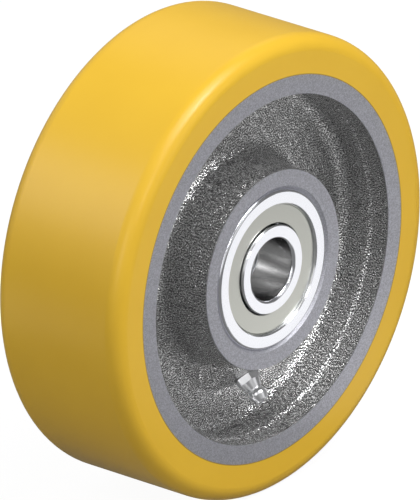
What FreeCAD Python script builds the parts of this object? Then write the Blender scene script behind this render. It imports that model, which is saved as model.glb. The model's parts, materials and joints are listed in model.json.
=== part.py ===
import FreeCAD, Part
import math
import os

import Sketcher

# Heavy-duty wheel: a cast wheel centre with a bonded tread, running on two ball bearings.
# The wheel turns about the Y axis, +Z is up, and its front, with the grease nipple, faces -Y.
# The origin is the middle of the wheel, on the axis of its bore. Lengths are in millimetres.

doc = FreeCAD.newDocument("wheel")
sheet = doc.addObject("Spreadsheet::Sheet", "Sizes")

# Driving dimensions, each with what it measures.
DRIVING_SIZES = (
    ("wheel_diameter", 150.0, "over the tread"),
    ("wheel_width", 50.0, "face to face"),
    ("tread_thickness", 12.5, "of the tread on the rim"),
    ("tread_shoulder", 5.0, "radius between the tread's running face and its side"),
    ("rim_wall", 6.1, "thickness of the rim at its face"),
    ("rim_turned_depth", 6.4, "how deep the rim is turned clean inside"),
    ("rim_ledge", 0.6, "step from the turned wall down to the cast wall"),
    ("rim_ledge_depth", 1.2, "axial length of that step"),
    ("web_thickness", 14.0, "disc between hub and rim"),
    ("hub_wall", 6.1, "hub round the bearing, at its face"),
    ("hub_flare", 1.9, "how much the hub widens from its face to the web"),
    ("hub_chamfer", 1.0, "lead-in of the bearing seats"),
    ("hub_shoulder", 2.5, "height of the step that a bearing rests on"),
    ("casting_fillet", 4.0, "round between web, hub and rim"),
    ("boss_reach", 8.3, "nipple's boss, from the hub outwards"),
    ("boss_width", 27.0, "nipple's boss, between its two straight sides"),
    ("boss_fillet", 1.0, "rounds of the boss's edges and foot"),
    ("bore_diameter", 20.0, "bore of the bearings"),
    ("bearing_diameter", 52.0, "outside of the bearings"),
    ("bearing_width", 15.0, "of one bearing"),
    ("ring_corner", 1.1, "radius of the rings' corners at bore and seat"),
    ("ring_edge", 0.3, "other corners of the rings"),
    ("ring_wall", 3.2175, "of either bearing ring, under its ball groove"),
    ("ball_count", 7.0, "balls in one bearing"),
    ("ball_clearance", 0.02, "between a ball and the bottom of either groove"),
    ("groove_play", 0.19, "groove's section radius over the ball's"),
    ("inner_groove_share", 0.124, "depth of the inner ring's ball groove for each mm of ball"),
    ("outer_groove_share", 0.208, "depth of the outer ring's ball groove for each mm of ball"),
    ("shield_seat_step", 0.4, "recess that holds a shield, outside the outer ring's land"),
    ("shield_seat_depth", 1.9, "of that recess below the ring's face"),
    ("shield_thickness", 0.45, "sheet of the shield"),
    ("shield_recess", 1.0, "shield's flat below the ring's face"),
    ("shield_flange", 0.25, "width of the shield's pressed-in edge"),
    ("shield_slope", 0.3, "from that edge in to the shield's flat"),
    ("shield_bend", 0.2, "corner cut that stands for the bends of the shield"),
    ("shield_gap", 0.45, "between the shield and the inner ring"),
    ("cage_thickness", 0.6, "sheet of the ball cage"),
    ("cage_play", 0.7, "between the ball cage and the land of either ring"),
    ("pocket_play", 0.15, "between a ball and its pocket"),
    ("rivet_diameter", 1.2, "shank of the cage rivets"),
    ("rivet_head_diameter", 2.2, "heads of the cage rivets"),
    ("rivet_head_height", 0.5, "heads of the cage rivets"),
    ("spacer_wall", 3.0, "from the bearings' bore out to the spacer's outside"),
    ("spacer_clearance", 0.1, "between the tube's bore and the axle"),
    ("nipple_offset", 4.6, "from the hub's foot out to the nipple's seat"),
    ("nipple_depth", 10.9, "from the front face to the nipple's seat"),
    ("nipple_angle", 45.0, "between the nipple and the wheel's radius, in degrees"),
    ("nipple_thread_diameter", 6.0, "shank of the nipple"),
    ("nipple_thread_length", 5.5, "shank of the nipple"),
    ("nipple_thread_chamfer", 0.5, "end of the shank"),
    ("nipple_thread_runout", 1.0, "tapped hole deeper than the shank"),
    ("nipple_hexagon", 7.0, "across the flats"),
    ("nipple_hexagon_height", 2.2, "from the seat"),
    ("nipple_cone_height", 2.7, "from the hexagon to the neck"),
    ("nipple_neck_diameter", 4.8, "behind the head"),
    ("nipple_neck_height", 0.4, "behind the head"),
    ("nipple_head_diameter", 6.1, "that the coupler grips"),
    ("nipple_head_height", 4.2, "from the neck to the tip"),
    ("nipple_grip_height", 1.2, "from the neck to where the head is widest"),
    ("nipple_grip_land", 0.8, "length of the widest part"),
    ("nipple_tip_diameter", 4.0, "end of the head, before its round"),
    ("nipple_tip_round", 0.9, "round of the head's end"),
    ("nipple_mouth_diameter", 1.5, "opening that the check ball closes"),
    ("nipple_mouth_depth", 0.6, "from the tip to the ball's seat"),
    ("nipple_bore_diameter", 2.7, "inside the nipple"),
    ("nipple_crimp", 0.4, "lip at the shank's end that holds the spring in"),
    ("check_ball_side_play", 0.2, "between the valve's ball and the nipple's bore"),
    ("check_ball_seat_play", 0.02, "between the closed ball and its seat"),
    ("valve_spring_wire", 0.3, "spring behind the check ball"),
    ("valve_spring_pitch", 1.0, "spring behind the check ball"),
    ("valve_spring_play", 0.15, "between the spring and the nipple's bore"),
    ("valve_spring_gap", 0.2, "between the spring's wire and the closed ball"),
    ("spot_face_diameter", 10.0, "flat under the nipple"),
    ("spot_face_reach", 6.0, "how far the cutter clears the boss above that flat"),
    ("grease_channel_diameter", 3.2, "from the nipple to the hub's cavity"),
)

# How far a cutting outline runs past the material, and how close an edge is to its size.
OVERRUN = 1.0
NEAR = 0.01

for row, (alias, number, meaning) in enumerate(DRIVING_SIZES, 1):
    sheet.set(f"A{row}", meaning)
    sheet.set(f"B{row}", str(number))
    sheet.setAlias(f"B{row}", alias)
doc.recompute()


class Size:
    """A number taken from the sheet, with the expression that ties a feature to it."""

    def __init__(self, value, text):
        self.value = value
        self.text = text

    def __add__(self, other):
        other = as_size(other)
        return Size(self.value + other.value, f"({self.text} + {other.text})")

    def __sub__(self, other):
        other = as_size(other)
        return Size(self.value - other.value, f"({self.text} - {other.text})")

    def __mul__(self, other):
        other = as_size(other)
        return Size(self.value * other.value, f"({self.text} * {other.text})")

    def __truediv__(self, other):
        other = as_size(other)
        return Size(self.value / other.value, f"({self.text} / {other.text})")

    def __neg__(self):
        return self * -1

    def __rsub__(self, other):
        return as_size(other) - self


def as_size(item):
    """A plain number as a Size, for use beside the sheet's own."""
    return item if isinstance(item, Size) else Size(float(item), str(float(item)))


def size(alias):
    """The sheet's value of that name."""
    return Size(float(sheet.get(alias)), f"{sheet.Name}.{alias}")


def root(item):
    return Size(math.sqrt(item.value), f"sqrt({item.text})")


def least(first, second):
    return Size(min(first.value, second.value), f"min({first.text}; {second.text})")


def sine(angle):
    return Size(math.sin(math.radians(angle.value)), f"sin({angle.text} * 1 deg)")


def cosine(angle):
    return Size(math.cos(math.radians(angle.value)), f"cos({angle.text} * 1 deg)")


ZERO = as_size(0)

# Sizes that more than one piece shares.
half_width = size("wheel_width") / 2
tread_radius = size("wheel_diameter") / 2
rim_radius = tread_radius - size("tread_thickness")
web_half = size("web_thickness") / 2
bearing_radius = size("bearing_diameter") / 2
hub_face_radius = bearing_radius + size("hub_wall")
hub_root_radius = hub_face_radius + size("hub_flare")
boss_radius = hub_root_radius + size("boss_reach")
bearing_inboard = half_width - size("bearing_width")
bearing_centre = half_width - size("bearing_width") / 2
bearing_half = size("bearing_width") / 2
bore_radius = size("bore_diameter") / 2
# The balls fill the section between the ring walls, but leave room for their cage under the shields.
section_room = (bearing_radius - bore_radius) / 2 - size("ring_wall") - size("ball_clearance")
cage_room = bearing_half - size("shield_seat_depth") - size("cage_thickness") - size("pocket_play")
ball_radius = least(section_room, cage_room)
pitch_radius = (bore_radius + bearing_radius) / 2
groove_radius = ball_radius + size("groove_play")
inner_groove_bottom = pitch_radius - ball_radius - size("ball_clearance")
outer_groove_bottom = pitch_radius + ball_radius + size("ball_clearance")
inner_land_radius = inner_groove_bottom + ball_radius * 2 * size("inner_groove_share")
outer_land_radius = outer_groove_bottom - ball_radius * 2 * size("outer_groove_share")
shield_seat_radius = outer_land_radius + size("shield_seat_step")
cage_inner_radius = inner_land_radius + size("cage_play")
cage_outer_radius = outer_land_radius - size("cage_play")
ball_spacing = as_size(360) / size("ball_count")
nipple_radius = hub_root_radius + size("nipple_offset")
nipple_seat_y = size("nipple_depth") - half_width
nipple_bore_radius = size("nipple_bore_diameter") / 2
check_ball_radius = nipple_bore_radius - size("check_ball_side_play")

parts = []


def new_body(label):
    """A new sub-part, built from sketches."""
    body = doc.addObject("PartDesign::Body", label)
    body.Label = label
    parts.append(body)
    return body


def origin_feature(body, role):
    """One of the body's own planes or axes."""
    return next(item for item in body.Origin.OriginFeatures if item.Role == role)


def new_sketch(body, name, role="XY_Plane"):
    """An empty sketch on one of the body's planes."""
    sketch = body.newObject("Sketcher::SketchObject", name)
    sketch.AttachmentSupport = [(origin_feature(body, role), "")]
    sketch.MapMode = "FlatFace"
    return sketch


def hold_point(sketch, line, end, across, up):
    """Hold a point of the sketch at a distance from its origin."""
    for kind, distance in (("DistanceX", across), ("DistanceY", up)):
        rule = Sketcher.Constraint(kind, -1, 1, line, end, distance.value)
        index = sketch.addConstraint(rule)
        sketch.setExpression(f"Constraints[{index}]", distance.text)


def add_outline(sketch, corners):
    """A closed outline of straight lines through the corners."""
    points = [FreeCAD.Vector(across.value, up.value, 0) for across, up in corners]
    first = sketch.GeometryCount
    count = len(points)
    for i, start in enumerate(points):
        sketch.addGeometry(Part.LineSegment(start, points[(i + 1) % count]), False)
    for i, (across, up) in enumerate(corners):
        following = first + (i + 1) % count
        sketch.addConstraint(Sketcher.Constraint("Coincident", first + i, 2, following, 1))
        hold_point(sketch, first + i, 1, across, up)


def add_circle(sketch, across, up, radius):
    """A circle held at its centre and by its radius."""
    centre = FreeCAD.Vector(across.value, up.value, 0)
    line = sketch.addGeometry(Part.Circle(centre, FreeCAD.Vector(0, 0, 1), radius.value), False)
    hold_point(sketch, line, 3, across, up)
    index = sketch.addConstraint(Sketcher.Constraint("Radius", line, radius.value))
    sketch.setExpression(f"Constraints[{index}]", radius.text)


def add_axis(sketch, across):
    """A construction line parallel to the wheel's axis, to turn an outline about."""
    start = FreeCAD.Vector(across.value, 0, 0)
    end = FreeCAD.Vector(across.value, 1, 0)
    line = sketch.addGeometry(Part.LineSegment(start, end), True)
    hold_point(sketch, line, 1, across, ZERO)
    hold_point(sketch, line, 2, across, as_size(1))


def turn(body, sketch, name, cut=False, axis="V_Axis"):
    """Turn the sketch's outline about an axis, as added or removed material."""
    feature = body.newObject("PartDesign::Groove" if cut else "PartDesign::Revolution", name)
    feature.Profile = sketch
    feature.ReferenceAxis = (sketch, [axis])
    feature.Angle = 360
    sketch.Visibility = False
    return feature


def turned(body, name, corners, cut=False, role="XY_Plane"):
    """Turn an outline given as corners about the sketch's upright axis."""
    sketch = new_sketch(body, f"{name}_outline", role)
    add_outline(sketch, corners)
    return turn(body, sketch, name, cut)


def round_rings(body, name, radius, rings):
    """Round the circular edges given by their radius and place along the axis."""
    doc.recompute()
    base = body.Tip
    names = []
    for index, edge in enumerate(base.Shape.Edges, 1):
        if not isinstance(edge.Curve, Part.Circle):
            continue
        for ring_radius, ring_y in rings:
            same_radius = abs(edge.Curve.Radius - ring_radius.value) < NEAR
            if same_radius and abs(edge.Curve.Center.y - ring_y.value) < NEAR:
                names.append(f"Edge{index}")
    fillet = body.newObject("PartDesign::Fillet", name)
    fillet.Base = (base, names)
    fillet.setExpression("Radius", radius.text)
    return fillet


def pattern(body, name, features):
    """Repeat features round the wheel's axis, once for each ball."""
    repeat = body.newObject("PartDesign::PolarPattern", name)
    repeat.Originals = features
    repeat.Axis = (origin_feature(body, "Y_Axis"), [""])
    repeat.Angle = 360
    repeat.setExpression("Occurrences", size("ball_count").text)
    body.Tip = repeat
    return repeat


def mirrored(corners):
    """The outline's half at -Y, followed by its mirror image at +Y."""
    return corners + [(across, -up) for across, up in reversed(corners)]


def make_tread():
    """Tyre of elastic plastic on the rim, with rounded shoulders."""
    body = new_body("tread")
    turned(body, "tread_ring", mirrored([(tread_radius, -half_width), (rim_radius, -half_width)]))
    shoulders = [(tread_radius, -half_width), (tread_radius, half_width)]
    round_rings(body, "tread_shoulders", size("tread_shoulder"), shoulders)


def boss_outline(sketch):
    """The boss seen along the axis: an arc, and two straight sides that run up into the hub."""
    corner_x = size("boss_width") / 2
    corner_z = -root(boss_radius * boss_radius - corner_x * corner_x)
    foot_z = -bearing_radius

    def point(across, up):
        return FreeCAD.Vector(across.value, up.value, 0)

    low_point = FreeCAD.Vector(0, -boss_radius.value, 0)
    arc = Part.Arc(point(-corner_x, corner_z), low_point, point(corner_x, corner_z))
    sketch.addGeometry(arc, False)
    sketch.addGeometry(Part.LineSegment(point(corner_x, corner_z), point(corner_x, foot_z)), False)
    sketch.addGeometry(Part.LineSegment(point(corner_x, foot_z), point(-corner_x, foot_z)), False)
    sketch.addGeometry(Part.LineSegment(point(-corner_x, foot_z), point(-corner_x, corner_z)), False)
    for first, first_end, second in ((0, 2, 1), (1, 2, 2), (2, 2, 3)):
        sketch.addConstraint(Sketcher.Constraint("Coincident", first, first_end, second, 1))
    sketch.addConstraint(Sketcher.Constraint("Coincident", 3, 2, 0, 1))
    sketch.addConstraint(Sketcher.Constraint("Coincident", 0, 3, -1, 1))
    hold_point(sketch, 1, 1, corner_x, corner_z)
    hold_point(sketch, 1, 2, corner_x, foot_z)
    hold_point(sketch, 2, 2, -corner_x, foot_z)
    index = sketch.addConstraint(Sketcher.Constraint("DistanceX", -1, 1, 3, 2, -corner_x.value))
    sketch.setExpression(f"Constraints[{index}]", (-corner_x).text)


def boss_edges(feature):
    """The edges of the boss's two straight sides and of its arc."""
    names = []
    side_x = (size("boss_width") / 2).value
    for index, edge in enumerate(feature.Shape.Edges, 1):
        length = edge.LastParameter - edge.FirstParameter
        places = [edge.valueAt(edge.FirstParameter + length * part) for part in (0.25, 0.5, 0.75)]
        on_side = all(abs(abs(place.x) - side_x) < NEAR for place in places)
        on_arc = all(abs(math.hypot(place.x, place.z) - boss_radius.value) < NEAR for place in places)
        if on_side or on_arc:
            names.append(f"Edge{index}")
    return names


def make_casting():
    """The cast wheel centre before the grease hole: rim, web, hub and the nipple's boss."""
    body = new_body("wheel_casting")
    turned_radius = rim_radius - size("rim_wall")
    cast_radius = turned_radius - size("rim_ledge")
    ledge_y = size("rim_turned_depth") - half_width
    section = [
        (rim_radius, -half_width),
        (turned_radius, -half_width),
        (turned_radius, ledge_y),
        (cast_radius, ledge_y + size("rim_ledge_depth")),
        (cast_radius, -web_half),
        (hub_root_radius, -web_half),
        (hub_face_radius, -half_width),
        (bore_radius, -half_width),
    ]
    turned(body, "blank", mirrored(section))
    # The rounds at the rim and at the boss's foot leave some of the flat web between them.
    room = (cast_radius - boss_radius) / 3
    for name, radius, round_size in (
        ("hub_rounds", hub_root_radius, size("casting_fillet")),
        ("rim_rounds", cast_radius, least(size("casting_fillet"), room)),
    ):
        round_rings(body, name, round_size, [(radius, -web_half), (radius, web_half)])

    # The boss is as high as the line at the nipple's angle that its seat lies on.
    slope = sine(size("nipple_angle")) / cosine(size("nipple_angle"))
    boss_top = nipple_seat_y - (nipple_radius - hub_root_radius) / slope
    clear_radius = boss_radius + OVERRUN
    clear_y = nipple_seat_y + (clear_radius - nipple_radius) / slope
    outline = new_sketch(body, "boss_plan", "XZ_Plane")
    boss_outline(outline)
    pad = body.newObject("PartDesign::Pad", "boss")
    pad.Profile = outline
    pad.setExpression("Length", (-boss_top).text)
    outline.Visibility = False
    above_slope = [
        (hub_root_radius, boss_top),
        (clear_radius, clear_y),
        (clear_radius, boss_top - OVERRUN),
        (hub_root_radius, boss_top - OVERRUN),
    ]
    turned(body, "boss_slope", above_slope, cut=True)
    doc.recompute()
    base = body.Tip
    fillet = body.newObject("PartDesign::Fillet", "boss_rounds")
    fillet.Base = (base, boss_edges(base))
    fillet.setExpression("Radius", least(size("boss_fillet"), room).text)

    bore = [
        (ZERO, -half_width - OVERRUN),
        (bearing_radius + size("hub_chamfer") + OVERRUN, -half_width - OVERRUN),
        (bearing_radius, size("hub_chamfer") - half_width),
        (bearing_radius, -bearing_inboard),
        (bearing_radius - size("hub_shoulder"), -bearing_inboard),
    ]
    turned(body, "bearing_seats", mirrored(bore), cut=True)
    return body


def set_nipple_place(item):
    """Stand a piece on the nipple's seat, its own Z axis pointing out of the boss."""
    item.setExpression("Placement.Base.y", nipple_seat_y.text)
    item.setExpression("Placement.Base.z", (-nipple_radius).text)
    item.Placement.Rotation = FreeCAD.Rotation(FreeCAD.Vector(1, 0, 0), 135)
    item.setExpression("Placement.Rotation.Angle", (as_size(180) - size("nipple_angle")).text)


def make_wheel_core():
    """The wheel centre: the casting, drilled for the nipple and its grease channel."""
    casting = make_casting()
    drill = new_body("grease_drilling")
    thread_radius = size("nipple_thread_diameter") / 2
    channel_radius = size("grease_channel_diameter") / 2
    spot_radius = size("spot_face_diameter") / 2
    spot_reach = size("spot_face_reach")
    thread_end = -size("nipple_thread_length") - size("nipple_thread_runout")
    # The channel breaks into the cavity between the bearings by its own width.
    cavity_radius = bearing_radius - size("hub_shoulder")
    drop = nipple_radius - cavity_radius + size("grease_channel_diameter")
    channel_end = -drop / cosine(size("nipple_angle"))
    steps = [
        (ZERO, spot_reach),
        (spot_radius, spot_reach),
        (spot_radius, ZERO),
        (thread_radius, ZERO),
        (thread_radius, thread_end),
        (channel_radius, thread_end),
        (channel_radius, channel_end),
        (ZERO, channel_end),
    ]
    turned(drill, "drill", steps, role="XZ_Plane")
    set_nipple_place(drill)
    core = doc.addObject("Part::Cut", "wheel_core")
    core.Base = casting
    core.Tool = drill
    parts.remove(casting)
    parts.remove(drill)
    parts.append(core)


def make_nipple():
    """Grease nipple: threaded shank, hexagon, cone, neck and head, with its valve bore."""
    body = new_body("grease_nipple")
    thread_radius = size("nipple_thread_diameter") / 2
    neck_radius = size("nipple_neck_diameter") / 2
    head_radius = size("nipple_head_diameter") / 2
    tip_radius = size("nipple_tip_diameter") / 2
    flat_radius = size("nipple_hexagon") / 2
    shank_end = -size("nipple_thread_length")
    cone_start = size("nipple_hexagon_height")
    neck_start = cone_start + size("nipple_cone_height")
    head_start = neck_start + size("nipple_neck_height")
    tip = head_start + size("nipple_head_height")
    widest = head_start + size("nipple_grip_height")
    chamfer = size("nipple_thread_chamfer")
    shape = [
        (ZERO, shank_end),
        (thread_radius - chamfer, shank_end),
        (thread_radius, shank_end + chamfer),
        (thread_radius, ZERO),
        (flat_radius, ZERO),
        (flat_radius, cone_start),
        (neck_radius, neck_start),
        (neck_radius, head_start),
        (head_radius, widest),
        (head_radius, widest + size("nipple_grip_land")),
        (tip_radius, tip),
        (ZERO, tip),
    ]
    turned(body, "nipple_turned", shape, role="XZ_Plane")
    round_rings(body, "nipple_end_round", size("nipple_tip_round"), [(tip_radius, ZERO)])

    hexagon = new_sketch(body, "hexagon_outline")
    # Corner distance of a hexagon from its flats.
    corner_radius = flat_radius * (2 / math.sqrt(3))
    corners = []
    for i in range(6):
        angle = as_size(60 * i)
        corners.append((corner_radius * cosine(angle), corner_radius * sine(angle)))
    add_outline(hexagon, corners)
    pad = body.newObject("PartDesign::Pad", "hexagon")
    pad.Profile = hexagon
    pad.setExpression("Length", cone_start.text)
    hexagon.Visibility = False

    valve_seat = tip - size("nipple_mouth_depth")
    spring_seat = shank_end + size("nipple_crimp")
    mouth_radius = size("nipple_mouth_diameter") / 2
    lip_radius = nipple_bore_radius - size("valve_spring_wire")
    hollow = [
        (ZERO, shank_end - OVERRUN),
        (lip_radius, shank_end - OVERRUN),
        (lip_radius, spring_seat),
        (nipple_bore_radius, spring_seat),
        (nipple_bore_radius, valve_seat - (nipple_bore_radius - mouth_radius)),
        (mouth_radius, valve_seat),
        (mouth_radius, tip + OVERRUN),
        (ZERO, tip + OVERRUN),
    ]
    turned(body, "valve_bore", hollow, cut=True, role="XZ_Plane")
    set_nipple_place(body)

    # The ball touches the 45 degree seat at root-half of its radius from the axis.
    seat_height = valve_seat + mouth_radius
    ball_height = seat_height - (check_ball_radius + size("check_ball_seat_play")) * math.sqrt(2)
    make_check_ball(ball_height)
    make_valve_spring(spring_seat, ball_height)


def make_check_ball(height):
    """Ball that closes the nipple's mouth, held up by the spring."""
    body = new_body("check_ball")
    sketch = new_sketch(body, "ball_outline", "XZ_Plane")
    centre = FreeCAD.Vector(0, height.value, 0)
    up = FreeCAD.Vector(0, 0, 1)
    half = math.pi / 2
    arc = Part.ArcOfCircle(Part.Circle(centre, up, check_ball_radius.value), -half, half)
    sketch.addGeometry(arc, False)
    low = FreeCAD.Vector(0, height.value - check_ball_radius.value, 0)
    high = FreeCAD.Vector(0, height.value + check_ball_radius.value, 0)
    sketch.addGeometry(Part.LineSegment(high, low), False)
    sketch.addConstraint(Sketcher.Constraint("Coincident", 0, 2, 1, 1))
    sketch.addConstraint(Sketcher.Constraint("Coincident", 0, 1, 1, 2))
    sketch.addConstraint(Sketcher.Constraint("PointOnObject", 0, 3, -2))
    hold_point(sketch, 1, 1, ZERO, height + check_ball_radius)
    hold_point(sketch, 1, 2, ZERO, height - check_ball_radius)
    turn(body, sketch, "ball")
    set_nipple_place(body)


def make_valve_spring(seat, ball_height):
    """Coil spring from the crimped end of the nipple to the check ball."""
    body = new_body("valve_spring")
    wire_radius = size("valve_spring_wire") / 2
    coil_radius = nipple_bore_radius - wire_radius - size("valve_spring_play")
    # The top coil bears on the ball's side, where the ball is as wide as the coil.
    reach = root(check_ball_radius * check_ball_radius - coil_radius * coil_radius)
    touch = ball_height - reach - wire_radius - size("valve_spring_gap")
    bottom = seat + wire_radius
    sketch = new_sketch(body, "wire_section", "XZ_Plane")
    add_circle(sketch, coil_radius, bottom, wire_radius)
    coil = body.newObject("PartDesign::AdditiveHelix", "coil")
    coil.Profile = sketch
    coil.ReferenceAxis = (sketch, ["V_Axis"])
    coil.Mode = "pitch-height-angle"
    coil.setExpression("Pitch", size("valve_spring_pitch").text)
    coil.setExpression("Height", (touch - bottom).text)
    coil.Angle = 0
    sketch.Visibility = False
    set_nipple_place(body)


def make_spacer():
    """Tube that keeps the two inner rings apart on the axle."""
    body = new_body("spacer_tube")
    inner = bore_radius + size("spacer_clearance")
    outer = bore_radius + size("spacer_wall")
    turned(body, "tube", mirrored([(outer, -bearing_inboard), (inner, -bearing_inboard)]))


def make_inner_ring(name, centre):
    """Inner ring of a bearing, with its ball groove."""
    body = new_body(f"{name}_inner_ring")
    edge = size("ring_edge")
    low = centre - bearing_half
    high = centre + bearing_half
    section = [
        (bore_radius, low),
        (inner_land_radius - edge, low),
        (inner_land_radius, low + edge),
        (inner_land_radius, high - edge),
        (inner_land_radius - edge, high),
        (bore_radius, high),
    ]
    turned(body, f"{name}_inner_blank", section)
    round_rings(body, f"{name}_bore_rounds", size("ring_corner"), [(bore_radius, low), (bore_radius, high)])
    groove = new_sketch(body, f"{name}_inner_groove_section")
    add_circle(groove, inner_groove_bottom + groove_radius, centre, groove_radius)
    turn(body, groove, f"{name}_inner_groove", cut=True)


def make_outer_ring(name, centre):
    """Outer ring of a bearing, with its ball groove and a shield recess at each face."""
    body = new_body(f"{name}_outer_ring")
    edge = size("ring_edge")
    low = centre - bearing_half
    high = centre + bearing_half
    seat = size("shield_seat_depth")
    section = [
        (shield_seat_radius, low + seat),
        (shield_seat_radius, low + edge),
        (shield_seat_radius + edge, low),
        (bearing_radius, low),
        (bearing_radius, high),
        (shield_seat_radius + edge, high),
        (shield_seat_radius, high - edge),
        (shield_seat_radius, high - seat),
        (outer_land_radius, high - seat),
        (outer_land_radius, low + seat),
    ]
    turned(body, f"{name}_outer_blank", section)
    corners = [(bearing_radius, low), (bearing_radius, high)]
    round_rings(body, f"{name}_seat_rounds", size("ring_corner"), corners)
    groove = new_sketch(body, f"{name}_outer_groove_section")
    add_circle(groove, outer_groove_bottom - groove_radius, centre, groove_radius)
    turn(body, groove, f"{name}_outer_groove", cut=True)


def make_shield(name, side):
    """Pressed steel shield on the bearing's outer side, clear of the inner ring."""
    body = new_body(f"{name}_shield")
    sheet_thickness = size("shield_thickness")
    flange_radius = shield_seat_radius - size("shield_flange")
    flat_radius = flange_radius - size("shield_slope")
    hole_radius = inner_land_radius + size("shield_gap")
    bend = size("shield_bend")
    top = size("shield_recess")
    seat = size("shield_seat_depth")
    # Depth below the ring's face, from the flange at the rim to the turned-in edge.
    section = [
        (shield_seat_radius, seat),
        (shield_seat_radius, seat - sheet_thickness),
        (flange_radius + bend, seat - sheet_thickness),
        (flat_radius, top),
        (hole_radius + bend, top),
        (hole_radius, top + bend),
        (hole_radius, seat),
        (hole_radius + sheet_thickness, seat),
        (hole_radius + sheet_thickness, top + sheet_thickness),
        (flat_radius - bend, top + sheet_thickness),
        (flange_radius, seat),
    ]
    turned(body, f"{name}_shield_sheet", [(r, (half_width - depth) * side) for r, depth in section])


def make_cage_half(name, part_name, centre, side):
    """Half of a pressed ball cage: a flat ring with a round pocket over each ball."""
    body = new_body(f"{name}_cage_{part_name}")
    thickness = size("cage_thickness")
    pocket_radius = ball_radius + size("pocket_play")
    dome_radius = pocket_radius + thickness
    half_spacing = ball_spacing / 2

    ring = [
        (cage_inner_radius, centre),
        (cage_outer_radius, centre),
        (cage_outer_radius, centre + thickness * side),
        (cage_inner_radius, centre + thickness * side),
    ]
    turned(body, "plate", ring)

    def quarter_disc(sketch, radius):
        """A quarter circle beside the line that it is turned about."""
        middle = FreeCAD.Vector(pitch_radius.value, centre.value, 0)
        flat_end = middle + FreeCAD.Vector(radius.value, 0, 0)
        pole = middle + FreeCAD.Vector(0, radius.value * side, 0)
        between = middle + FreeCAD.Vector(radius.value, radius.value * side, 0) * math.sqrt(0.5)
        sketch.addGeometry(Part.Arc(flat_end, between, pole), False)
        sketch.addGeometry(Part.LineSegment(pole, middle), False)
        sketch.addGeometry(Part.LineSegment(middle, flat_end), False)
        arc_ends = (1, 2) if side > 0 else (2, 1)
        sketch.addConstraint(Sketcher.Constraint("Coincident", 0, arc_ends[1], 1, 1))
        sketch.addConstraint(Sketcher.Constraint("Coincident", 1, 2, 2, 1))
        sketch.addConstraint(Sketcher.Constraint("Coincident", 2, 2, 0, arc_ends[0]))
        sketch.addConstraint(Sketcher.Constraint("Coincident", 0, 3, 1, 2))
        hold_point(sketch, 1, 1, pitch_radius, centre + radius * side)
        hold_point(sketch, 1, 2, pitch_radius, centre)
        index = sketch.addConstraint(Sketcher.Constraint("DistanceY", -1, 1, 2, 2, centre.value))
        sketch.setExpression(f"Constraints[{index}]", centre.text)
        add_axis(sketch, pitch_radius)

    domes = new_sketch(body, "dome_section")
    quarter_disc(domes, dome_radius)
    dome = turn(body, domes, "dome", axis="Axis0")
    pattern(body, "domes", [dome])
    hollows = new_sketch(body, "pocket_section")
    quarter_disc(hollows, pocket_radius)
    pocket = turn(body, hollows, "pocket", cut=True, axis="Axis0")
    pattern(body, "pockets", [pocket])

    reach = dome_radius + OVERRUN
    outside = [
        (cage_outer_radius, centre - side),
        (pitch_radius + reach, centre - side),
        (pitch_radius + reach, centre + reach * side),
        (cage_outer_radius, centre + reach * side),
    ]
    turned(body, "outer_trim", outside, cut=True)
    inside = [
        (cage_inner_radius, centre - side),
        (pitch_radius - reach, centre - side),
        (pitch_radius - reach, centre + reach * side),
        (cage_inner_radius, centre + reach * side),
    ]
    turned(body, "inner_trim", inside, cut=True)

    hole = new_sketch(body, "rivet_hole_outline", "XZ_Plane")
    hole_x = pitch_radius * cosine(half_spacing)
    hole_z = pitch_radius * sine(half_spacing)
    add_circle(hole, hole_x, hole_z, size("rivet_diameter") / 2)
    drill = body.newObject("PartDesign::Pocket", "rivet_hole")
    drill.Profile = hole
    drill.Midplane = True
    drill.setExpression("Length", size("wheel_width").text)
    hole.Visibility = False
    pattern(body, "rivet_holes", [drill])


def make_cage_rivets(name, centre):
    """The rivets that join the two halves of a cage, one between each two balls."""
    body = new_body(f"{name}_cage_rivets")
    body.AllowCompound = True
    shank_radius = size("rivet_diameter") / 2
    head_radius = size("rivet_head_diameter") / 2
    grip = size("cage_thickness")
    end = grip + size("rivet_head_height")
    section = [
        (pitch_radius, centre - end),
        (pitch_radius + head_radius, centre - end),
        (pitch_radius + head_radius, centre - grip),
        (pitch_radius + shank_radius, centre - grip),
        (pitch_radius + shank_radius, centre + grip),
        (pitch_radius + head_radius, centre + grip),
        (pitch_radius + head_radius, centre + end),
        (pitch_radius, centre + end),
    ]
    sketch = new_sketch(body, "rivet_section")
    add_outline(sketch, section)
    add_axis(sketch, pitch_radius)
    rivet = turn(body, sketch, "rivet", axis="Axis0")
    pattern(body, "rivets", [rivet])
    body.Placement.Rotation = FreeCAD.Rotation(FreeCAD.Vector(0, 1, 0), (ball_spacing / 2).value)
    body.setExpression("Placement.Rotation.Angle", (ball_spacing / 2).text)


def make_balls(name, centre):
    """The balls of a bearing, evenly spaced on their pitch circle."""
    for number in range(round(size("ball_count").value)):
        ball = doc.addObject("Part::Sphere", f"{name}_ball_{number + 1}")
        angle = ball_spacing * number
        ball.setExpression("Radius", ball_radius.text)
        ball.setExpression("Placement.Base.x", (pitch_radius * cosine(angle)).text)
        ball.setExpression("Placement.Base.y", centre.text)
        ball.setExpression("Placement.Base.z", (pitch_radius * sine(angle)).text)
        parts.append(ball)


def main():
    make_tread()
    make_wheel_core()
    make_nipple()
    make_spacer()
    for name, side in (("front", -1), ("rear", 1)):
        centre = bearing_centre * side
        make_inner_ring(name, centre)
        make_outer_ring(name, centre)
        make_shield(name, side)
        make_cage_half(name, "outboard", centre, side)
        make_cage_half(name, "inboard", centre, -side)
        make_cage_rivets(name, centre)
        make_balls(name, centre)
    write_parts()


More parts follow.
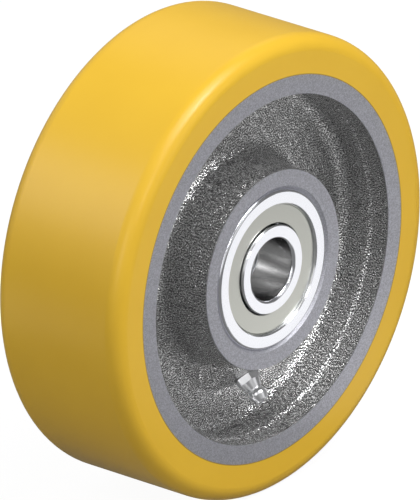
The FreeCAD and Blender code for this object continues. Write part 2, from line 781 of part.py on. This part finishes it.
def write_parts():
    """Check every feature and every sub-part, then write each one to its file."""
    doc.recompute()
    for item in doc.Objects:
        if "Invalid" in item.State or "Error" in item.State:
            raise RuntimeError(f"{item.Name} failed: {item.State}")
    for part in parts:
        if part.Shape.isNull() or not part.Shape.isValid():
            raise RuntimeError(f"{part.Label} has no valid shape")
    os.makedirs("parts", exist_ok=True)
    for part in parts:
        part.Shape.exportStep(f"parts/{part.Label}.step")
        solids = len(part.Shape.Solids)
        print(f"{part.Label}: {solids} solid, {part.Shape.Volume:.1f} mm3")


main()
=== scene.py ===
"""Looks of a heavy-duty wheel: cast wheel centre, yellow tread, ball bearings and grease nipple.

Lengths are in metres, in the wheel's own frame. It turns about Y, +Z is up and the nipple's side is -Y.
"""

import json
import math

import bpy
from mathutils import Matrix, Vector


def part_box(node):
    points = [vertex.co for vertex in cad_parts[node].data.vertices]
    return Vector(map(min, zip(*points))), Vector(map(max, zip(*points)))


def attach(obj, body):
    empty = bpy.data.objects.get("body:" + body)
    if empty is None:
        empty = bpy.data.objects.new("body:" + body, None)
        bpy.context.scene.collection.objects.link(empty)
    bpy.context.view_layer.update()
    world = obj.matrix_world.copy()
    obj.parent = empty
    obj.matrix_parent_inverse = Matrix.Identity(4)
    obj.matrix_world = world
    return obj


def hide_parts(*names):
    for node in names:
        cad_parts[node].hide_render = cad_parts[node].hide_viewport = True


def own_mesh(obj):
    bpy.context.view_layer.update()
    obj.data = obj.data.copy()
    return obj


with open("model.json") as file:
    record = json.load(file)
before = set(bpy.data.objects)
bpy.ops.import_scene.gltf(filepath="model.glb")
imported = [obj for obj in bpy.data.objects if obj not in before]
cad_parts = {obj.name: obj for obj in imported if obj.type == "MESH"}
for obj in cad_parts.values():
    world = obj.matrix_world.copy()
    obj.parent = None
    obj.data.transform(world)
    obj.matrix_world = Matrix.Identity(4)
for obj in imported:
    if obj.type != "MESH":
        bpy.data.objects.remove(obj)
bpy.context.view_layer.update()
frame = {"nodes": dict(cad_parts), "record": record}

MM = 0.001

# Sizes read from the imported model.
half_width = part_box("tread")[1].y
rim_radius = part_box("wheel_core")[1].z
seat_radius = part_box("front_outer_ring")[1].z
bore_radius = float(frame["record"]["mounts"][0]["dims"]["r_mm"]) * MM
floor_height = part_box("tread")[0].z

# The photograph's view: direction of sight, how much of the wheel's plane the long side shows,
# and how far the view's middle lies to the right of the wheel's and above it.
VIEW_AZIMUTH = math.radians(-50.03)
VIEW_ELEVATION = math.radians(22.05)
VIEW_HEIGHT = 0.1556
VIEW_ASIDE = -0.40 * MM
VIEW_ABOVE = 0.13 * MM
VIEW_DISTANCE = 6.0
SENSOR = 36.0

# Two strips of floor that mirrors show white. They lie on a line that passes the wheel's foot a little
# aside, towards the front right and the rear left. Each pair of places bounds a soft edge: beside that
# line, and along it for the start and the end of either strip.
STRIP_RIGHT = 0.77
STRIP_FRONT = 0.64
STRIP_ASIDE = 0.02
STRIP_EDGE = (0.034, 0.055)
FRONT_STRIP_START = (0.06, 0.10)
FRONT_STRIP_END = (0.36, 0.46)
REAR_STRIP_START = (-0.21, -0.16)
REAR_STRIP_END = (-0.50, -0.40)

# The dark screen that mirrors show: its direction, how far off it starts and is full, as a cosine,
# and how much of it covers the sky at these two.
SCREEN_DIRECTION = (0.78, -0.30, 0.55)
SCREEN_EDGE = (-0.2, 0.7)
SCREEN_COVER = (0.1, 1.0)

# Lamps: name, direction, distance, width, height, and what it adds to a white surface that faces it.
LAMPS = (
    ("key_above", (0.00, -0.40, 0.91), 1.2, 0.8, 0.8, 0.52),
    ("band_left", (-0.65, 0.60, 0.47), 1.2, 0.6, 0.5, 0.16),
    ("side_left", (-0.85, -0.35, 0.25), 1.2, 0.4, 0.4, 0.075),
    ("band_right", (0.55, 0.45, 0.70), 1.2, 0.8, 0.6, 0.05),
    ("fill_front", (0.30, -0.93, 0.20), 1.4, 0.7, 0.7, 0.06),
    ("glint_above", (0.10, -0.60, 0.79), 1.4, 0.3, 0.3, 0.28),
    ("glint_shoulder", (-0.42, -0.77, 0.47), 1.4, 0.2, 0.2, 0.06),
)


class Value:
    """An output socket in a node tree. Python's operators on it add Math nodes."""

    def __init__(self, shader, socket):
        self.shader = shader
        self.socket = socket

    def output(self, name):
        """Another output of the same node."""
        return Value(self.shader, self.socket.node.outputs[name])

    def math(self, operation, *others):
        """A Math node with this value as its first input."""
        return self.shader.maths(operation, self, *others)

    def __add__(self, other):
        return self.math("ADD", other)

    def __sub__(self, other):
        return self.math("SUBTRACT", other)

    def __mul__(self, other):
        return self.math("MULTIPLY", other)

    def __rsub__(self, other):
        return self.shader.maths("SUBTRACT", other, self)

    def __abs__(self):
        return self.math("ABSOLUTE")

    def root(self):
        return self.math("SQRT")

    def ramp(self, start, end, low=0.0, high=1.0):
        """Smooth change from low to high while this value goes from start to end."""
        inputs = {"Value": self, "From Min": start, "From Max": end, "To Min": low, "To Max": high}
        return self.shader.node("ShaderNodeMapRange", {"interpolation_type": "SMOOTHSTEP"}, inputs)


class Shader:
    """The emptied node tree of a material or a world, with calls that add nodes to it."""

    def __init__(self, owner):
        owner.use_nodes = True
        self.tree = owner.node_tree
        self.tree.nodes.clear()

    def node(self, kind, settings=None, inputs=None, output=0):
        """Add a node: its settings first, then a value or a link for each of its sockets."""
        made = self.tree.nodes.new(kind)
        for name, value in (settings or {}).items():
            setattr(made, name, value)
        for name, value in (inputs or {}).items():
            if isinstance(value, Value):
                self.tree.links.new(value.socket, made.inputs[name])
            else:
                made.inputs[name].default_value = value
        return Value(self, made.outputs[output])

    def maths(self, operation, *values):
        """A Math node on these values or numbers."""
        return self.node("ShaderNodeMath", {"operation": operation}, dict(enumerate(values)))

    def facing(self, direction, target):
        """Cosine of the angle between a direction and a fixed one."""
        made = self.node("ShaderNodeVectorMath", {"operation": "DOT_PRODUCT"}, {0: direction, 1: target})
        return made.output("Value")

    def joined(self, across, along, up):
        """A vector from three values."""
        return self.node("ShaderNodeCombineXYZ", inputs={0: across, 1: along, 2: up})

    def mix(self, factor, first, second):
        """One colour into another."""
        inputs = {0: factor, 6: first, 7: second}
        return self.node("ShaderNodeMix", {"data_type": "RGBA"}, inputs, output=2)

    def blend(self, factor, first, second):
        """One shader into another."""
        return self.node("ShaderNodeMixShader", inputs={0: factor, 1: first, 2: second})

    def noise(self, place, grain, detail=2.0):
        """Cloudy pattern from 0 to 1, with grains of about that size in metres."""
        inputs = {"Vector": place, "Scale": 1 / grain, "Detail": detail}
        return self.node("ShaderNodeTexNoise", inputs=inputs)

    def ridges(self, place, pitch):
        """Winding ridges from 0 to 1, about that far apart in metres."""
        waves = 2.0
        inputs = {"Vector": place, "Scale": 1 / (pitch * waves), "Frequency": waves, "Anisotropy": 0.0}
        return self.node("ShaderNodeTexGabor", {"gabor_type": "3D"}, inputs)

    def bump(self, height, depth):
        """Normal of a relief whose height, from 0 to 1, is worth depth in metres."""
        inputs = {"Height": height, "Distance": depth, "Strength": 1.0}
        return self.node("ShaderNodeBump", inputs=inputs)

    def finish(self, surface, kind="ShaderNodeOutputMaterial"):
        """Lead the finished shader to the output of the material or the world."""
        made = self.tree.nodes.new(kind)
        self.tree.links.new(surface.socket, made.inputs["Surface"])


class Place:
    """Where a point of the surface lies: its place, its distance from the axis and its depth below a face."""

    def __init__(self, shader):
        self.point = shader.node("ShaderNodeTexCoord", output="Object")
        self.x = shader.node("ShaderNodeSeparateXYZ", inputs={0: self.point})
        self.y = self.x.output("Y")
        self.z = self.x.output("Z")
        self.radius = (self.x * self.x + self.z * self.z).root()
        self.depth = half_width - abs(self.y)


def new_material(name):
    """A material with its emptied node tree, and the place of a surface point in it."""
    material = bpy.data.materials.new(name)
    shader = Shader(material)
    return material, shader, Place(shader)


def principled(shader, **inputs):
    """The surface shader, with each socket's words joined by underscores."""
    named = {name.replace("_", " "): value for name, value in inputs.items()}
    shader.finish(shader.node("ShaderNodeBsdfPrincipled", inputs=named))


def grey(level, blue=1.0):
    """A grey, with its blue multiplied for a colder or warmer one."""
    return (level, level, level * blue, 1.0)


def tread_material():
    """Cast polyurethane: honey yellow, satin, faintly cloudy, with a mould's fine skin."""
    material, shader, at = new_material("honey_polyurethane")
    cloud = shader.noise(at.point, 30 * MM, detail=3)
    skin = shader.noise(at.point, 0.5 * MM)
    light_honey = (0.93, 0.575, 0.040, 1.0)
    deep_honey = (0.85, 0.505, 0.030, 1.0)
    honey = shader.mix(cloud, light_honey, deep_honey)
    # A thin brown line of bonding agent shows along the rim.
    bond = at.radius.ramp(rim_radius + 0.1 * MM, rim_radius + 0.45 * MM, 1.0, 0.0)
    bond_cover = 0.75
    bond_brown = (0.22, 0.13, 0.02, 1.0)
    base = shader.mix(bond * bond_cover, honey, bond_brown)
    roughness = skin.ramp(0.3, 0.7, 0.30, 0.36)
    normal = shader.bump(skin, 0.006 * MM)
    principled(shader, Base_Color=base, Roughness=roughness, Specular_IOR_Level=0.45, Normal=normal)
    return material


def casting_material():
    """Cast iron under grey metallic lacquer: a rough hammered skin whose colour carries painted shade in its
    hollows and painted highlights on its crests, and finely blasted turned faces.
    """
    material, shader, at = new_material("grey_lacquered_casting")
    face = at.depth.ramp(0.15 * MM, 0.35 * MM, 1.0, 0.0)
    inside = at.radius.ramp(seat_radius + 0.9 * MM, seat_radius + 1.1 * MM, 1.0, 0.0)
    turned = face.math("MAXIMUM", inside)

    ridge = shader.ridges(at.point, 0.75 * MM)
    swell = shader.noise(at.point, 4 * MM)
    swell_share = 0.8
    relief = ridge + swell * swell_share
    cast_normal = shader.bump(relief, 0.38 * MM)
    pit = shader.noise(at.point, 0.35 * MM)
    turned_normal = shader.bump(pit, 0.02 * MM)
    normal = shader.node(
        "ShaderNodeMix", {"data_type": "VECTOR"}, {0: turned, 4: cast_normal, 5: turned_normal},
        output=1,
    )
    # Painted shade and highlight: the hollows of the hammered relief are coloured dark and its crests light,
    # standing in for how light falls on it.
    dark = shader.mix(ridge.ramp(0.3, 0.75), grey(0.15), grey(0.97))
    speckle = shader.mix(pit.ramp(0.3, 0.7), grey(0.43, 1.09), grey(0.65, 1.09))
    base = shader.mix(turned, dark, speckle)
    roughness = turned.ramp(0, 1, 0.23, 0.55)
    principled(shader, Base_Color=base, Metallic=0.85, Roughness=roughness, Normal=normal)
    return material


def ring_material():
    """Ground and polished bearing steel, with the grinding lines round the axis."""
    material, shader, at = new_material("polished_bearing_steel")
    around = shader.joined(at.radius, at.y, 0.0)
    lines = shader.noise(around, 0.06 * MM)
    normal = shader.bump(lines, 0.0008 * MM)
    bright = shader.mix(lines, (0.86, 0.87, 0.92, 1.0), (0.92, 0.925, 0.96, 1.0))
    # Inside the bore, painted streaks that run along the axis stand in for its bands of reflection.
    streak = shader.noise(shader.joined(at.x, 0.0, at.z), 5 * MM)
    painted_bore_bands = shader.mix(streak.ramp(0.25, 0.75), grey(0.62), grey(1.0))
    bore = at.radius.ramp(bore_radius + 0.02 * MM, bore_radius + 0.06 * MM, 1.0, 0.0)
    base = shader.mix(bore, bright, painted_bore_bands)
    principled(shader, Base_Color=base, Metallic=1.0, Roughness=0.16, Normal=normal)
    return material


def shield_material():
    """Pressed shield sheet, matt and slightly warm grey."""
    material, shader, at = new_material("matt_shield_sheet")
    grain = shader.noise(at.point, 0.4 * MM)
    base = shader.mix(grain, (0.65, 0.655, 0.60, 1.0), (0.72, 0.725, 0.67, 1.0))
    normal = shader.bump(grain, 0.004 * MM)
    principled(shader, Base_Color=base, Metallic=1.0, Roughness=0.38, Normal=normal)
    return material


def plated_material():
    """Bright zinc plate of the nipple."""
    material, shader, at = new_material("bright_zinc_plate")
    grain = shader.noise(at.point, 0.25 * MM)
    base = shader.mix(grain, (0.86, 0.87, 0.89, 1.0), (0.95, 0.95, 0.97, 1.0))
    normal = shader.bump(grain, 0.004 * MM)
    principled(shader, Base_Color=base, Metallic=1.0, Roughness=0.28, Normal=normal)
    return material


def plain_steel_material(name, level, roughness):
    """Drawn or pressed steel of the inner pieces, with faint streaks."""
    material, shader, at = new_material(name)
    streak = shader.noise(at.point, 0.3 * MM, detail=3)
    base = shader.mix(streak, grey(level * 0.9), grey(level * 1.05))
    normal = shader.bump(streak, 0.002 * MM)
    principled(shader, Base_Color=base, Metallic=1.0, Roughness=roughness, Normal=normal)
    return material


def dress_nodes():
    """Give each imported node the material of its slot."""
    finishes = {
        "tread_plastic": tread_material(),
        "cast_grey": casting_material(),
        "bearing_steel": ring_material(),
        "shield_sheet": shield_material(),
        "plated_steel": plated_material(),
        "cage_sheet": plain_steel_material("oiled_cage_sheet", 0.42, 0.35),
        "spring_steel": plain_steel_material("drawn_spring_wire", 0.40, 0.30),
        "spacer_steel": plain_steel_material("drawn_spacer_tube", 0.85, 0.25),
    }
    slots = {row["node"]: row["material_slot"] for row in frame["record"]["subparts"]}
    for name, node in frame["nodes"].items():
        node.data.materials.clear()
        node.data.materials.append(finishes[slots[name]])


def add_valve_spring():
    """A copy of the nipple's spring, parented to the wheel's body in place of the imported one, which is
    hidden.
    """
    mount = next(row for row in frame["record"]["mounts"] if row["name"] == "grease_nipple_head")
    valve = next(row for row in frame["record"]["behaviour"]["joints"] if row["name"] == "check_valve")
    inward = -Vector(mount["axis"]).normalized()
    spring = bpy.data.objects.new("nipple_spring", frame["nodes"]["valve_spring"].data.copy())
    bpy.context.scene.collection.objects.link(spring)
    reach = [inward.dot(vertex.co) for vertex in spring.data.vertices]
    keep = 1 - valve["range_m"][1] / (max(reach) - min(reach))
    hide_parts("valve_spring")
    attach(spring, "wheel")
    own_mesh(spring)


def towards(azimuth, elevation):
    """Unit vector towards that place on the sky. Azimuth 0 is -Y, and 90 is +X."""
    level = math.cos(elevation)
    return Vector((math.sin(azimuth) * level, -math.cos(azimuth) * level, math.sin(elevation)))


def aim(item, place, target=(0, 0, 0)):
    """Put a camera or a lamp at a place, looking at the target."""
    sight = Vector(target) - Vector(place)
    item.location = place
    item.rotation_euler = sight.to_track_quat("-Z", "Y").to_euler()


def add_camera():
    """Camera with a long lens, at the photograph's viewing angle."""
    camera = bpy.data.cameras.new("camera")
    camera.sensor_width = SENSOR
    camera.lens = SENSOR * VIEW_DISTANCE / VIEW_HEIGHT
    item = bpy.data.objects.new("camera", camera)
    bpy.context.scene.collection.objects.link(item)
    middle = towards(VIEW_AZIMUTH + math.pi / 2, 0) * VIEW_ASIDE
    middle += towards(VIEW_AZIMUTH, VIEW_ELEVATION + math.pi / 2) * VIEW_ABOVE
    aim(item, middle + towards(VIEW_AZIMUTH, VIEW_ELEVATION) * VIEW_DISTANCE, middle)
    bpy.context.scene.camera = item


def add_softbox(name, direction, distance, width, height, level):
    """Soft rectangular lamp that the camera doesn't see."""
    lamp = bpy.data.lights.new(name, "AREA")
    lamp.shape = "RECTANGLE"
    lamp.size = width
    lamp.size_y = height
    lamp.energy = level * (math.pi * distance) ** 2
    item = bpy.data.objects.new(name, lamp)
    bpy.context.scene.collection.objects.link(item)
    aim(item, Vector(direction).normalized() * distance)
    item.visible_camera = False


def add_floor():
    """Pale floor that shows white to the camera, with the wheel's shadow, and dark in most mirrors."""
    reach = 3.0
    mesh = bpy.data.meshes.new("floor")
    corners = [(-reach, -reach), (reach, -reach), (reach, reach), (-reach, reach)]
    mesh.from_pydata([(x, y, floor_height) for x, y in corners], [], [(0, 1, 2, 3)])
    floor = bpy.data.objects.new("floor", mesh)
    bpy.context.scene.collection.objects.link(floor)
    material = bpy.data.materials.new("pale_floor")
    shader = Shader(material)
    seen, mirrored = background_rays(shader)
    at = Place(shader)
    along = at.x * STRIP_RIGHT - at.y * STRIP_FRONT
    beside = abs(at.x * STRIP_FRONT + at.y * STRIP_RIGHT + STRIP_ASIDE)
    front = along.ramp(*FRONT_STRIP_START) * along.ramp(*FRONT_STRIP_END, 1.0, 0.0)
    rear = along.ramp(*REAR_STRIP_START, 1.0, 0.0) * along.ramp(*REAR_STRIP_END)
    strip = beside.ramp(*STRIP_EDGE, 1.0, 0.0) * (front + rear)
    lit = shader.node("ShaderNodeBsdfDiffuse", inputs={"Color": grey(0.9)})
    white = shader.node("ShaderNodeEmission", inputs={"Strength": 1.06})
    shade = shader.node("ShaderNodeEmission", inputs={"Strength": 0.20})
    bounce = shader.node("ShaderNodeBsdfDiffuse", inputs={"Color": grey(0.30)})
    white_share = 0.9
    pale = shader.blend(white_share, lit, white)
    shaded = mirrored * (1.0 - strip)
    shader.finish(shader.blend(seen, bounce, shader.blend(shaded, pale, shade)))
    mesh.materials.append(material)


def background_rays(shader):
    """Two values: 1 for a ray that shows the background as it looks, and 1 where it comes from a mirror."""
    path = shader.node("ShaderNodeLightPath", output="Is Camera Ray")
    mirrored = path.output("Is Glossy Ray").math("MAXIMUM", path.output("Is Transmission Ray"))
    return path.math("MAXIMUM", mirrored), mirrored


def add_world():
    """White to the camera, pale with a dark screen in mirrors, and a soft light on the wheel."""
    world = bpy.data.worlds.new("studio")
    bpy.context.scene.world = world
    shader = Shader(world)
    seen, mirrored = background_rays(shader)
    direction = shader.node("ShaderNodeTexCoord", output="Generated")
    screen = shader.facing(direction, SCREEN_DIRECTION)
    soft = shader.node("ShaderNodeBackground", inputs={"Strength": 0.35})
    white = shader.node("ShaderNodeBackground", inputs={"Strength": 1.0})
    dim = shader.node("ShaderNodeBackground", inputs={"Strength": 0.2})
    backdrop = shader.node("ShaderNodeBackground", inputs={"Color": grey(1.0), "Strength": 1.0})
    mirror_sky = shader.blend(screen.ramp(*SCREEN_EDGE, *SCREEN_COVER), white, dim)
    shown = shader.blend(mirrored, backdrop, mirror_sky)
    shader.finish(shader.blend(seen, soft, shown), "ShaderNodeOutputWorld")


dress_nodes()
add_valve_spring()
add_camera()
add_floor()
add_world()
for lamp_row in LAMPS:
    add_softbox(*lamp_row)
bpy.context.scene.view_settings.view_transform = "Standard"
